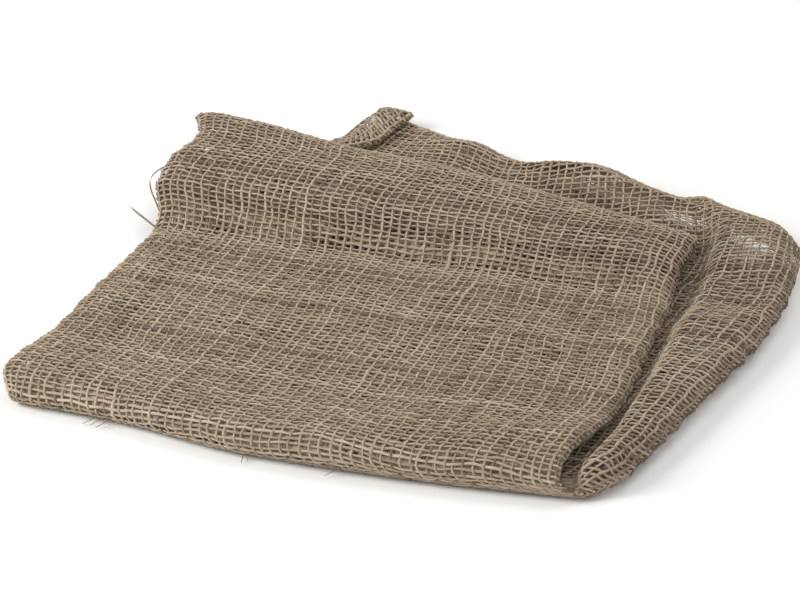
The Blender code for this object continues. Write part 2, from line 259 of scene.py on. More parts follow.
def outer_ply(shares):
    """The outer ply with square sides, the distance to the inner one and the sink beside the sides."""
    at = {name: curve_through(along, values, places)[:, None] for name, values in lines.items()}
    at.update(ply_distances())
    across = shares[None, :]
    toward_left = (1 - across) * (1 - 2 * across)
    toward_mid = 4 * across * (1 - across)
    toward_right = across * (2 * across - 1)
    x = at["x_left"] + (at["x_right"] - at["x_left"]) * across
    y, z = (at[f"{axis}_left"] * toward_left + at[f"{axis}_mid"] * toward_mid
            + at[f"{axis}_right"] * toward_right for axis in "yz")

    left_gap = at["gap_left"] + (at["gap_mid"] - at["gap_left"]) * soft_step(*LEFT_RISE, across)
    pack_width = 1.0 - at["pack_from"]
    in_pack = np.clip((across - at["pack_from"]) / np.maximum(pack_width, LEAST_PACK), 0.0, 1.0)
    in_side = np.where(pack_width > LEAST_PACK,
                       soft_step(0.0, PACK_RISE, in_pack), soft_step(*RIGHT_RISE, across))
    right_gap = at["gap_mid"] + (at["gap_right"] - at["gap_mid"]) * in_side
    on_left = across < 0.5
    gap = np.where(on_left, left_gap, right_gap)

    on_lower = lower_run[:, None]
    start_x, start_y = x, y
    for run, *spot, lift, draw_back in SWELLS:
        mound = swell(start_x, start_y, *spot)
        if run == "lower":
            gap = gap + np.where(on_lower, mound * lift, 0.0)
            y = y + np.where(on_lower, mound * draw_back, 0.0)
        else:
            y = y + mound * draw_back
            z = z + np.where(on_lower, 0.0, mound * lift)
    sink = np.where(on_left, at["sink_left"], at["sink_right"])
    turn = np.where(on_left, SIDE_TURN_HEIGHT, at["turn_right"])
    shoulder = np.where(on_left, SHOULDER_WIDTH, at["shoulder_right"])
    return np.stack((x, y, np.maximum(z, CLOTH_THICKNESS / 2)), axis=-1), gap, sink, turn, shoulder


def plies(shares):
    """Both plies with rounded shoulders, and the direction across them."""
    points, gap, sink, turn, shoulder = outer_ply(shares)
    across = unit(np.gradient(points, axis=1))
    downward = unit(np.gradient(points, axis=0))
    outward = unit(np.cross(across, downward))
    width = np.linalg.norm(points[:, -1] - points[:, 0], axis=-1)[:, None]
    to_side = np.minimum(shares, 1.0 - shares)[None, :] * width
    inside = np.clip(to_side / shoulder, 0.0, 1.0)
    rounding = np.sqrt(1.0 - (1.0 - inside) ** 2)
    drop = sink * (1.0 - rounding)
    gap = np.maximum(turn + (gap - turn) * rounding, SMALLEST_GAP)
    gap *= 1.0 - PLIES_CLOSER * soft_step(place_of[LOWER_RUN_ENDS], place_of["nose brow"], places)[:, None]
    outer = points - outward * drop[..., None]
    return outer, outer - outward * gap[..., None], across


border = np.arange(0.0, FINE_BORDER, SIDE_STEP)
shares = np.concatenate((border, np.arange(FINE_BORDER, COVER_WIDTH - FINE_BORDER, MIDDLE_STEP),
                         COVER_WIDTH - border[::-1])) / COVER_WIDTH
outer, inner, across = plies(shares)
print("points on each ply:", outer.shape[:2])

# %% Round the sides
def quarter_turns(outer_edge, inner_edge, sideways):
    """The half round down one side, as its outer quarter and its inner quarter, both from the middle on."""
    middle = (outer_edge + inner_edge) / 2
    radius = np.linalg.norm(outer_edge - inner_edge, axis=-1, keepdims=True) / 2
    up = unit(outer_edge - inner_edge)
    out = unit(sideways - np.sum(sideways * up, axis=-1, keepdims=True) * up)
    angles = np.linspace(0.0, np.pi / 2, TURN_POINTS + 1)[:-1]
    return [np.stack([middle + radius * (np.cos(a) * out + side * np.sin(a) * up) for a in angles], axis=1)
            for side in (1, -1)]


def evenly(points, count):
    """Each row of points, measured out again in equal steps of its own length."""
    wanted = np.linspace(0.0, 1.0, count + 1)
    run = run_so_far(step_lengths(points, 1), 1)
    return np.stack([[np.interp(wanted * length[-1], length, line[:, axis])
                      for length, line in zip(run, points)] for axis in range(3)], axis=-1)


left, right = (quarter_turns(outer[:, end], inner[:, end], outward * across[:, end])
               for end, outward in ((0, -1), (-1, 1)))
outer_half, inner_half = (
    evenly(np.concatenate((from_left, ply, from_right[:, ::-1]), axis=1), HALF_SAMPLES)
    for from_left, ply, from_right in zip(left, (outer, inner), right))
half_round = step_lengths(outer_half, 1).sum(axis=1)
sample_shares = np.linspace(0.0, 1.0, HALF_SAMPLES + 1)
print(f"one ply is {half_round.mean():.0f} mm across from side to side, measured along the cloth")

# %% The closed end, and the strip that is turned over
def closed_end():
    """Rows of points that carry the outer ply round into the inner one at the closed end."""
    top, bottom = outer_half[0], inner_half[0]
    backward = unit(outer_half[0] - outer_half[1])
    to_side = np.minimum(sample_shares, 1.0 - sample_shares) * half_round[0]
    bulge = np.sqrt(1.0 - (1.0 - np.clip(to_side / END_ROUNDING, 0.0, 1.0)) ** 2)
    bulge = (bulge * np.linalg.norm(top - bottom, axis=-1) / 2)[:, None]
    angles = np.linspace(0.0, np.pi, END_STEPS + 1)[1:-1]
    return np.array([top + (bottom - top) * (1 - np.cos(a)) / 2 + backward * bulge * np.sin(a)
                     for a in angles])


def turn_strip_over(points, left_edge):
    """Bends the strip beside the left edge up and over on top of the lower run."""
    x, y, z = points[..., 0], points[..., 1], points[..., 2]
    width = STRIP_WIDTH * soft_step(STRIP_STARTS_Y, STRIP_WIDE_Y, y)
    bend_x = left_edge + width
    beyond = bend_x - x
    radius = STRIP_BEND / np.pi
    angle = np.clip(beyond, 0.0, STRIP_BEND) / radius
    flat_part = np.clip(beyond - STRIP_BEND, 0.0, None)
    from_axis = STRIP_MIDDLE_HEIGHT + radius - z
    new_x = bend_x - from_axis * np.sin(angle) - flat_part * np.cos(angle)
    new_z = STRIP_MIDDLE_HEIGHT + radius - from_axis * np.cos(angle) + flat_part * np.sin(angle)
    on_strip = (beyond > 0) & (width > 0)
    return np.stack((np.where(on_strip, new_x, x), y, np.where(on_strip, new_z, z)), axis=-1)


end_rows = closed_end()
left_edge = curve_through(along, lines["x_left"], places)[lower_run, None]
for half in (outer_half, inner_half):
    half[lower_run] = turn_strip_over(half[lower_run], left_edge)
end_rows = turn_strip_over(end_rows, left_edge[0])
plain = np.concatenate((outer_half, end_rows, inner_half), axis=0)
flat_low, flat_high = plain.min(axis=(0, 1)), plain.max(axis=(0, 1))
SHIFT = (flat_low + flat_high) / 2 * (1, 1, 0)      # from the tables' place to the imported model's
print("box:", np.round(flat_high - flat_low, 1), "mm", " shift:", SHIFT)

# %% [markdown]
# ## Sides that wander
#
# The sides of a cloth tube are never straight. The yarns that turn round them pull in a little and let go a
# little, so the edge ripples in small scallops. At the hump's upper left the cloth also swells out in a
# small lobe, and the foot of the front fold's left corner is rounded in. Only the last centimetre and a
# half beside each side moves, and both plies move together.

# %% A ripple down both sides
RIPPLE, RIPPLE_REACH = 0.5, 16.0            # how far the sides wander in and out, and how far in from them
RIPPLE_SHORTEST, RIPPLE_LONGEST = 11.0, 30.0
STRIP_SHARE = 0.3           # how much of it is left where the left side is turned over
LOBES = (                   # where the left side swells out, by how much, and how far along
    ("nose foot", -7.5, 9.0),
    ("hump shoulder", 3.6, 7.0),
    ("hump top", -1.5, 5.0),
)


def smooth_noise(position, shortest, longest, waves, seed):
    """Soft random waves along a length, about 1 high: one row of values for each row of positions."""
    source = np.random.default_rng(seed)
    count = position.shape[0]
    lengths = np.exp(source.uniform(np.log(shortest), np.log(longest), (count, waves)))
    phases = source.uniform(0, 2 * np.pi, (count, waves))
    angle = position[:, :, None] * (2 * np.pi / lengths[:, None, :]) + phases[:, None, :]
    return np.sin(angle).sum(axis=2) * math.sqrt(2.0 / waves)


def side_ripple(edge, seed):
    """The length run down a side, and how far its points are moved out there."""
    down = run_so_far(step_lengths(edge))
    return down, RIPPLE * smooth_noise(down[None], RIPPLE_SHORTEST, RIPPLE_LONGEST, waves=8, seed=seed)[0]


down_left, left_out = side_ripple(outer_half[:, 0], seed=23)
past_strip = soft_step(place_of["lower front"], place_of[LOWER_RUN_ENDS], places)
left_out *= STRIP_SHARE + (1 - STRIP_SHARE) * past_strip
for name, out, reach in LOBES:
    at = np.interp(place_of[name], places, down_left)
    left_out += out * np.exp(-((down_left - at) / reach) ** 2)
right_out = side_ripple(outer_half[:, -1], seed=24)[1]
from_left = sample_shares[None] * half_round[:, None]
near_left = 1.0 - soft_step(0.0, RIPPLE_REACH, from_left)
near_right = 1.0 - soft_step(0.0, RIPPLE_REACH, half_round[:, None] - from_left)
moved = (near_right * right_out[:, None] - near_left * left_out[:, None])[..., None]
to_right = unit(outer_half[:, HALF_SAMPLES * 3 // 4] - outer_half[:, HALF_SAMPLES // 4])[:, None]
outer_half, inner_half = outer_half + moved * to_right, inner_half + moved * to_right
end_rows = end_rows + moved[0] * to_right[0]
print(f"the sides wander {left_out.min():.1f} to {left_out.max():.1f} mm on the left")

# %% One sheet
# From the mouth over the outer ply to the closed end, round it, and back over the inner ply.
sheet = np.concatenate((outer_half[::-1], end_rows, inner_half), axis=0) - SHIFT
facing = unit(np.cross(np.gradient(sheet, axis=0), np.gradient(sheet, axis=1)))
print("sheet points:", sheet.shape[:2])

# %% [markdown]
# ## Reading the sheet anywhere
#
# A yarn runs between the points of the fine surface, so a small function reads a place and its facing
# direction at any fractional line and any share of the way across. Bilinear reading is enough, because the
# surface is finer than the yarns are apart.

# %% Read a place on the sheet
END_FIRST = LINE_COUNT - 1                 # the sheet's line where the closed end begins
END_LAST = END_FIRST + END_STEPS           # and where the inner ply begins
INSIDE = 1e-6                              # keeps a reading within the grid's last cell


def read_grid(values, line, share):
    """Reads a grid of points at fractional lines and at shares of the way across."""
    line = np.clip(line, 0, len(values) - 1 - INSIDE)
    sample = np.clip(share, 0.0, 1.0) * (values.shape[1] - 1 - INSIDE)
    row, column = line.astype(int), sample.astype(int)
    down, over = (line - row)[..., None], (sample - column)[..., None]
    near = values[row, column] * (1 - over) + values[row, column + 1] * over
    far = values[row + 1, column] * (1 - over) + values[row + 1, column + 1] * over
    return near * (1 - down) + far * down


print("middle of the closed end:", np.round(sheet[END_FIRST + END_STEPS // 2, MIDDLE_SAMPLE], 1), "mm")

# %% [markdown]
# ## Laying out the weave
#
# A plain weave is a grid of crossings. Yarns run across the cover every 3.7 mm and along it every 4.8 mm,
# and where two cross, one is over and the other under, turn and turn about. Real jute is far from even: the
# yarns wander, bunch and spread. Long slow waves move neighbouring yarns together, and a small waviness of
# its own moves each yarn alone. The yarns that run across lie closer together round the front fold, where
# the cloth is bunched, and a little thicker round the closed end, where it is gathered in.

# %% Rows and columns of the weave
ROW_PITCH = 3.7             # millimetres between the yarns that run across
NOSE_CLOSER, NOSE_REACH = 0.22, 24.0        # how much closer they lie round the front fold, and its reach
COLUMNS = 64                # yarns along each ply, so 128 round the tube
END_ROW_COUNT = 16          # yarns across in the closed end's round, an even number to keep over and under
END_ROW_GIRTH = 1.3         # and how much thicker than the others
CLOSER_AT_SIDES = 0.07      # how much closer than average the yarns along lie beside the sides
STRAIGHT_AT = "top middle"  # the fold line that the weave runs straight along
FINE_STEP, GRID_STEP = 0.25, 0.5            # steps along the cloth to place rows and to look up lines
SLOW_WAVES, MOST_ROUND = 14, 9              # slow waves, each with fewer than this many round the tube
SLOW_SHORTEST, SLOW_LONGEST = 70, 330       # their length along the cloth, in millimetres


def drift(length_mm, turn, seed):
    """Slow waves over the whole tube: turn is the share of the way round, so they close on themselves."""
    source = np.random.default_rng(seed)
    total = np.zeros(np.broadcast(length_mm, turn).shape)
    for _ in range(SLOW_WAVES):
        around = source.integers(0, MOST_ROUND)
        wave = source.uniform(SLOW_SHORTEST, SLOW_LONGEST) * source.choice((-1, 1))
        total += np.sin(2 * np.pi * (around * turn + length_mm / wave) + source.uniform(0, 2 * np.pi))
    return total * math.sqrt(2.0 / SLOW_WAVES)


visible_steps = np.where(lower_run[1:, None], step_lengths(inner_half), step_lengths(outer_half))
measured = run_so_far(visible_steps)
straight_line = int(np.argmin(np.abs(places - place_of[STRAIGHT_AT])))
measured -= measured[straight_line]
nose_at = np.interp(place_of["nose brow"], places, measured[:, MIDDLE_SAMPLE])
millimetres = np.arange(measured.min() + 1.0, measured.max(), FINE_STEP)
nose_share = np.exp(-((millimetres - nose_at) / NOSE_REACH) ** 2)
rows_so_far = np.cumsum(FINE_STEP / (ROW_PITCH * (1.0 - NOSE_CLOSER * nose_share)))
row_lengths = np.interp(np.arange(1, int(rows_so_far[-1])), rows_so_far, millimetres)   # the mouth is last
PLY_ROWS = len(row_lengths)
length_grid = np.arange(measured.min(), measured.max() + GRID_STEP, GRID_STEP)
line_at = np.stack([np.interp(length_grid, measured[:, sample], np.arange(LINE_COUNT))
                    for sample in range(HALF_SAMPLES + 1)], axis=1)[..., None]
end_length = measured[0]                   # where the closed end lies, by the share of the way across
mouth_length = measured[-1]
column_shares = (np.arange(COLUMNS) + 0.5) / COLUMNS
column_shares -= CLOSER_AT_SIDES * np.sin(2 * np.pi * column_shares) / (2 * np.pi)
print(PLY_ROWS, "yarns across each ply,", END_ROW_COUNT, "in the closed end,", COLUMNS, "along each ply")
for name, length in (("closed end", end_length), ("mouth", mouth_length)):
    print(name, "at", np.round(length[::MIDDLE_SAMPLE]), "mm along the cloth")

# %% Where the yarns cross
SLOW_ACROSS, SLOW_ALONG = 0.9, 1.0          # how far the slow waves move rows and columns, in millimetres
OWN_ROW, OWN_COLUMN = 0.34, 0.42            # and how far each yarn wanders alone
CALM_ROWS, CALM_COLUMNS = 14.0, 12.0        # and how near the sides they stop wandering
HALF_ROUND = 307.0          # a middling width of one ply: along the cloth the lines are 284 to 354 mm long
CLEAR_OF_END = 1.2          # no yarn that runs across lies nearer the closed end or the mouth


def line_for(length, share):
    """The fractional line that lies at a length along the cloth, at shares of the way across."""
    return read_grid(line_at, (length - length_grid[0]) / GRID_STEP, share)[..., 0]


step_shares = np.linspace(0.0, 1.0, 2 * COLUMNS + 1)        # side, crossing, between, crossing ... side
to_side_mm = np.minimum(step_shares, 1 - step_shares) * HALF_ROUND
row_run = np.concatenate((row_lengths[::-1], np.full(END_ROW_COUNT, row_lengths[0]), row_lengths))
end_side = np.linspace(0, 1, END_ROW_COUNT + 2)[1:-1]
row_side = np.concatenate((np.zeros(PLY_ROWS), end_side, np.ones(PLY_ROWS)))       # 0 outer ply, 1 inner
ROWS = len(row_run)
END_ROWS = slice(PLY_ROWS, PLY_ROWS + END_ROW_COUNT)
step_turn = np.where(row_side[:, None] < 0.5, step_shares[None] / 2, 1 - step_shares[None] / 2)
row_mm = step_shares * HALF_ROUND
column_mm = row_run * np.where(row_side < 0.5, -1.0, 1.0)
own_wave = smooth_noise(np.tile(row_mm, (ROWS, 1)), shortest=16, longest=70, waves=7, seed=32)
own_wave *= soft_step(0.0, CALM_ROWS, to_side_mm)
row_shift = SLOW_ACROSS * drift(row_run[:, None], step_turn, seed=41) + OWN_ROW * own_wave

cross_turn = step_turn[:, 1::2]
own_column = smooth_noise(np.tile(column_mm, (COLUMNS, 1)), shortest=18, longest=80, waves=8, seed=51).T
column_shift = SLOW_ALONG * drift(row_run[:, None], cross_turn, seed=61) + OWN_COLUMN * own_column
column_shift *= soft_step(0.0, CALM_COLUMNS, to_side_mm[1::2])
cross_shares = column_shares[None] + column_shift / HALF_ROUND

# The share of each step of each row, then its line on the sheet: outer ply, closed end, inner ply.
row_step_shares = np.empty((ROWS, 2 * COLUMNS + 1))
row_step_shares[:, 1::2] = cross_shares
row_step_shares[:, 2:-1:2] = (cross_shares[:, 1:] + cross_shares[:, :-1]) / 2
row_step_shares[:, 0], row_step_shares[:, -1] = 0.0, 1.0
row_length = row_run[:, None] + row_shift
ply_line = line_for(row_length, row_step_shares)
row_step_lines = np.where(row_side[:, None] < 0.5, END_FIRST - ply_line, END_LAST + ply_line)
end_shares = (np.arange(END_ROW_COUNT) + 0.5) / END_ROW_COUNT
row_step_lines[END_ROWS] = (END_FIRST + END_STEPS * end_shares)[:, None]
there = ((row_length > np.interp(row_step_shares, sample_shares, end_length) + CLEAR_OF_END)
         & (row_length < np.interp(row_step_shares, sample_shares, mouth_length) - CLEAR_OF_END))
there[END_ROWS] = True
cross_lines, crossed = row_step_lines[:, 1::2], there[:, 1::2]
over = 1.0 - 2.0 * ((np.arange(ROWS)[:, None] + np.arange(COLUMNS)[None]) % 2)
# A column that misses an odd number of rows beside the end would go over or under twice running there.
missing = (~crossed[END_ROWS.stop:END_ROWS.stop + PLY_ROWS // 2]).sum(axis=0)
over[END_ROWS] *= (1.0 - 2.0 * (missing % 2))[None]
print("crossings:", int(crossed.sum()))

# %% [markdown]
# ## The yarns' own character
#
# Jute yarn is spun from coarse fibre, so it runs thick and thin, with slubs: short soft thickenings. Its
# colour changes from yarn to yarn as well, from straw to a warm brown. Each yarn gets a thickness and a
# tint of its own, and both change slowly along it.

# %% Thickness and tint
OWN_GIRTH, OWN_GIRTH_RANGE = 0.10, (0.82, 1.3)      # each yarn's own thickness: spread about 1, and limits
UNEVEN, FINELY_UNEVEN = 0.10, 0.05                  # slow and quick changes of thickness along a yarn
SLUB_REACH, SLUB_SWELL = (5, 13), (0.3, 0.75)       # half a slub's millimetres, and its extra girth
GIRTH_RANGE = (0.62, 2.1)
OWN_TINT, OWN_TINT_RANGE, TINT_DRIFT = 0.10, (0.1, 0.95), 0.08
PALE_YARNS, PALE_TINT = 0.05, 0.76                  # the share of yarns that are pale, and their tint
BROWN_YARNS, BROWN_TINT = 0.06, 0.10


def yarn_character(count, lengths, seed, slubs=0.5):
    """Thickness (about 1) and tint (0 dark to 1 pale) of each yarn at the given lengths along it."""
    source = np.random.default_rng(seed)
    lengths = np.broadcast_to(lengths, (count, lengths.shape[-1]))
    own = np.clip(source.normal(1.0, OWN_GIRTH, (count, 1)), *OWN_GIRTH_RANGE)
    girth = (own + UNEVEN * smooth_noise(lengths, shortest=9, longest=45, waves=6, seed=seed + 1)
             + FINELY_UNEVEN * smooth_noise(lengths, shortest=4, longest=9, waves=5, seed=seed + 2))
    for yarn in range(count):
        for _ in range(source.poisson(slubs)):
            at, reach = source.uniform(lengths.min(), lengths.max()), source.uniform(*SLUB_REACH)
            girth[yarn] += source.uniform(*SLUB_SWELL) * np.exp(-((lengths[yarn] - at) / reach) ** 2)
    tint = np.clip(source.normal(0.5, OWN_TINT, (count, 1)), *OWN_TINT_RANGE)
    pale, brown = source.random((count, 1)) < PALE_YARNS, source.random((count, 1)) < BROWN_YARNS
    tint = np.where(pale, PALE_TINT, np.where(brown, BROWN_TINT, tint))
    tint = tint + TINT_DRIFT * smooth_noise(lengths, shortest=12, longest=120, waves=6, seed=seed + 3)
    return np.clip(girth, *GIRTH_RANGE), np.clip(tint, 0.0, 1.0)


column_mm = np.interp(np.arange(2 * ROWS - 1) / 2, np.arange(ROWS), column_mm)     # between rows as well
row_girth, row_tint = yarn_character(ROWS, row_mm, seed=71)
column_girth, column_tint = yarn_character(COLUMNS, column_mm, seed=81, slubs=2.0)
row_girth[END_ROWS] *= END_ROW_GIRTH
print(f"mean thickness factor {row_girth.mean():.3f} across, {column_girth.mean():.3f} along")

# %% Paths of the yarns in one zone
YARN_SEED_GAP = 400.0       # millimetres that keep the streaks of one yarn from repeating on the next
THIN_PLACES = (             # x, y and reach of places where yarns on the ground are thinner, by this share
    (307.0, 306.0, 15.0, 32.0, 0.85),
    (262.0, 325.0, 16.0, 15.0, 0.6),
)
THIN_BELOW = 4.0            # and only those that lie lower than this


def row_paths(row, fine_from):
    """The stretches of one row: lines, shares, rise (1 over, -1 under) and character at each step."""
    change = np.diff(np.concatenate(([0], there[row].astype(int), [0])))
    rise = np.zeros(2 * COLUMNS + 1)
    rise[1::2] = over[row]
    found = []
    for first, after in zip(np.nonzero(change == 1)[0], np.nonzero(change == -1)[0]):
        first, last = max(first - 1, 0), min(after, 2 * COLUMNS)
        chosen = np.arange(first, last + 1)
        ends = (chosen == first) | (chosen == last)
        chosen = chosen[(step_shares[chosen] >= fine_from) | (chosen % 2 == 1) | ends]
        if len(chosen) > 3:
            line, share, girth, tint = (values[row, chosen] for values in
                                        (row_step_lines, row_step_shares, row_girth, row_tint))
            found.append((line, share, rise[chosen], girth, tint, row_mm[chosen] + YARN_SEED_GAP * row))
    return found


def column_path(column, first, last, fine_from):
    """One column between two rows of the sheet, with two steps for each row that it crosses."""
    rows = np.arange(first, last + 1)
    rows = rows[crossed[rows, column]]
    if len(rows) < 2:
        return []
    place = np.arange(len(rows))
    at = place if column_shares[column] < fine_from else np.arange(2 * len(rows) - 1) / 2.0
    rise = np.where(at % 1 == 0, -over[rows[at.astype(int)], column], 0.0)
    half_index = (2 * np.interp(at, place, rows)).astype(int)
    line, share = (np.interp(at, place, values[rows, column]) for values in (cross_lines, cross_shares))
    return [(line, share, rise, column_girth[column, half_index], column_tint[column, half_index],
             column_mm[half_index] + 5 * YARN_SEED_GAP * column)]


def yarn_object(name, paths, loose=()):
    """An object of bare edges, one chain for each path, with the yarns' facts as its points' attributes."""
    line, share, *character = (np.concatenate(values) for values in zip(*paths))
    woven = (read_grid(sheet, line, share), unit(read_grid(facing, line, share)), *character)
    points, out, rise, girth, tint, length = (np.concatenate(values) for values in zip(woven, *loose))
    sizes = [len(path[0]) for path in (*paths, *loose)]
    starts = np.cumsum([0] + sizes[:-1])
    edges = np.concatenate([np.stack((np.arange(s, s + n - 1), np.arange(s + 1, s + n)), axis=1)
                            for s, n in zip(starts, sizes)])
    x, y = (points + SHIFT)[:, :2].T
    for thin_x, thin_y, reach_x, reach_y, thinner in THIN_PLACES:
        away = ((x - thin_x) / reach_x) ** 2 + ((y - thin_y) / reach_y) ** 2
        girth = girth * (1.0 - thinner * np.exp(-away ** 2) * (points[:, 2] < THIN_BELOW))
    mesh = bpy.data.meshes.new(name)
    mesh.from_pydata((points * MM).tolist(), edges.tolist(), [])
    facts = {"rise": rise, "girth": girth, "tint": tint, "length": length * MM, "out": out}
    for fact, values in facts.items():
        kind, part = ("FLOAT", "value") if values.ndim == 1 else ("FLOAT_VECTOR", "vector")
        attribute = mesh.attributes.new(fact, kind, "POINT")
        attribute.data.foreach_set(part, values.astype(np.float32).ravel())
    return put(name, mesh)

# %% [markdown]
# ## From paths to yarns, with Geometry Nodes
#
# A yarn is a soft tube along its path. The tree below pushes each crossing out or in by the weave's rise,
# turns the edges into curves, and sweeps a slightly flattened ring along them. The ring's size follows the
# girth attribute, so one tree makes every yarn of the cover.
#
# Jute is hairy. Short fibres stand out of the twist and soften every edge, which is what makes it look dry
# and coarse. The same tree scatters thin three-sided spikes on the yarns' skin, more on the pieces that
# show most.

# %% A helper that adds a node
def add_node(tree, kind, inputs=None, **settings):
    """Adds one node. Settings are its own properties. Inputs are its sockets' values, or what is linked to
    them: a socket, or a node, which stands for its first output."""
    node = tree.nodes.new(kind)
    for name, value in settings.items():
        setattr(node, name, value)
    for socket, value in (inputs or {}).items():
        if isinstance(value, bpy.types.Node):
            value = value.outputs[0]
        if isinstance(value, bpy.types.NodeSocket):
            tree.links.new(value, node.inputs[socket])
        else:
            node.inputs[socket].default_value = value
    return node

# %% Loose fibres
FIBRES_ABOVE = 0.004        # none stand out below this height, where the cloth lies on the ground


def fibres(tree, given, yarns):
    """Thin three-sided spikes that stand out of the yarns' skin, leaning every way."""
    add = partial(add_node, tree)
    height = add("ShaderNodeSeparateXYZ", {0: add("GeometryNodeInputPosition")}).outputs["Z"]
    high = add("FunctionNodeCompare", {0: height, 1: FIBRES_ABOVE}, data_type="FLOAT",
               operation="GREATER_THAN")
    spots = add("GeometryNodeDistributePointsOnFaces",
                {"Mesh": yarns, "Selection": high, "Density": given["Fibres per square metre"], "Seed": 5})
    lean = add("FunctionNodeRandomValue", {0: (-1.0, -1.0, -0.6), 1: (1.0, 1.0, 0.9), "Seed": 6},
               data_type="FLOAT_VECTOR")
    toward = add("ShaderNodeVectorMath", {0: spots.outputs["Normal"], 1: lean}, operation="ADD")
    turned = add("FunctionNodeAlignRotationToVector", {"Vector": toward}, axis="Z")
    spike = add("GeometryNodeMeshCone",
                {"Vertices": 3, "Radius Top": 0.0, "Radius Bottom": given["Fibre radius"],
                 "Depth": given["Fibre length"]})
    size = add("FunctionNodeRandomValue", {2: 0.4, 3: 1.3, "Seed": 7}, data_type="FLOAT").outputs[1]
    return add("GeometryNodeInstanceOnPoints",
               {"Points": spots, "Instance": spike, "Rotation": turned, "Scale": size})

# %% The yarn tree
INPUTS = (
    ("Width", "Float", 0.001), ("Flatness", "Float", 0.8), ("Rise", "Float", 0.0004), ("Sides", "Int", 6),
    ("Fibres per square metre", "Float", 0.0), ("Fibre length", "Float", 0.003),
    ("Fibre radius", "Float", 0.00004), ("Material", "Material", None),
)


def yarn_tree():
    """Spins edges into yarns: pushes them over and under, sweeps a ring along them and adds the fibres."""
    tree = bpy.data.node_groups.new("spin yarns", "GeometryNodeTree")
    tree.interface.new_socket("Geometry", in_out="INPUT", socket_type="NodeSocketGeometry")
    for name, kind, value in INPUTS:
        socket = tree.interface.new_socket(name, in_out="INPUT", socket_type="NodeSocket" + kind)
        if value is not None:
            socket.default_value = value
    tree.interface.new_socket("Geometry", in_out="OUTPUT", socket_type="NodeSocketGeometry")
    add = partial(add_node, tree)
    given = add("NodeGroupInput").outputs
    out, rise, girth = (add("GeometryNodeInputNamedAttribute", {"Name": name}, data_type=kind)
                        for name, kind in (("out", "FLOAT_VECTOR"), ("rise", "FLOAT"), ("girth", "FLOAT")))
    amount = add("ShaderNodeMath", {0: rise, 1: given["Rise"]}, operation="MULTIPLY")
    push = add("ShaderNodeVectorMath", {0: out, "Scale": amount}, operation="SCALE")
    woven = add("GeometryNodeSetPosition", {"Geometry": given["Geometry"], "Offset": push})
    curve = add("GeometryNodeMeshToCurve", {0: woven})
    curve = add("GeometryNodeSetCurveNormal", {"Curve": curve, "Normal": out}, mode="FREE")
    radius = add("ShaderNodeMath", {0: given["Width"], 1: 0.5}, operation="MULTIPLY")
    ring = add("GeometryNodeCurvePrimitiveCircle", {"Resolution": given["Sides"], "Radius": radius},
               mode="RADIUS")
    around = add("GeometryNodeSplineParameter").outputs["Factor"]
    ring = add("GeometryNodeStoreNamedAttribute", {"Geometry": ring, "Name": "around", "Value": around},
               data_type="FLOAT")
    shape = add("ShaderNodeCombineXYZ", {"X": given["Flatness"], "Y": 1.0, "Z": 1.0})
    ring = add("GeometryNodeTransform", {"Geometry": ring, "Scale": shape})
    tube = add("GeometryNodeCurveToMesh",
               {"Curve": curve, "Profile Curve": ring, "Scale": girth, "Fill Caps": True})
    tube = add("GeometryNodeSetShadeSmooth", {"Geometry": tube})
    both = add("GeometryNodeJoinGeometry", {0: tube})
    tree.links.new(fibres(tree, given, tube).outputs[0], both.inputs[0])
    real = add("GeometryNodeRealizeInstances", {0: both})
    done = add("GeometryNodeSetMaterial", {"Geometry": real, "Material": given["Material"]})
    add("NodeGroupOutput", {"Geometry": done})
    return tree


spin_yarns = yarn_tree()
print("the yarn tree has", len(spin_yarns.nodes), "nodes")

# %% [markdown]
# ## Jute as a material
#
# Jute is a bast fibre, spun dry and left undyed: straw, tan and brown strands side by side, with almost no
# gloss. The eye sees short streaks that wind round the yarn, so the colour and the bump read the yarn's own
# attributes, its length and the way around it, and turn with the twist. Each yarn's tint then shifts the
# whole.

# %% Colours from sRGB
def paint(code):
    """A linear colour from an sRGB hex value."""
    parts = [int(code[i:i + 2], 16) / 255 for i in (1, 3, 5)]
    return tuple(v / 12.92 if v <= 0.04045 else ((v + 0.055) / 1.055) ** 2.4 for v in parts) + (1.0,)


JUTE_DARK, JUTE_MIDDLE, JUTE_LIGHT = paint("#725F4C"), paint("#A8957D"), paint("#C6B8A1")
JUTE_RED = paint("#95704D")
print("middle jute, linear:", [round(v, 3) for v in JUTE_MIDDLE[:3]])

# %% The yarn's material
TWIST_TURN = 6.0 * MM       # one full turn of the twist along the yarn
FIBRE_LENGTH = 5.0 * MM     # streaks are about this long
FLECK_SPACING = 12.0 * MM   # reddish strands come and go over about this length
FLECK_FROM, FLECK_FULL = 0.66, 0.76         # the noise's values at which they begin and are full
FLECK_SHARE = 0.75          # and how much of their own colour they have there
STREAKS = 0.9               # how far the streaks move the tint, dark to light
FIBRE_BUMP = 0.2 * MM


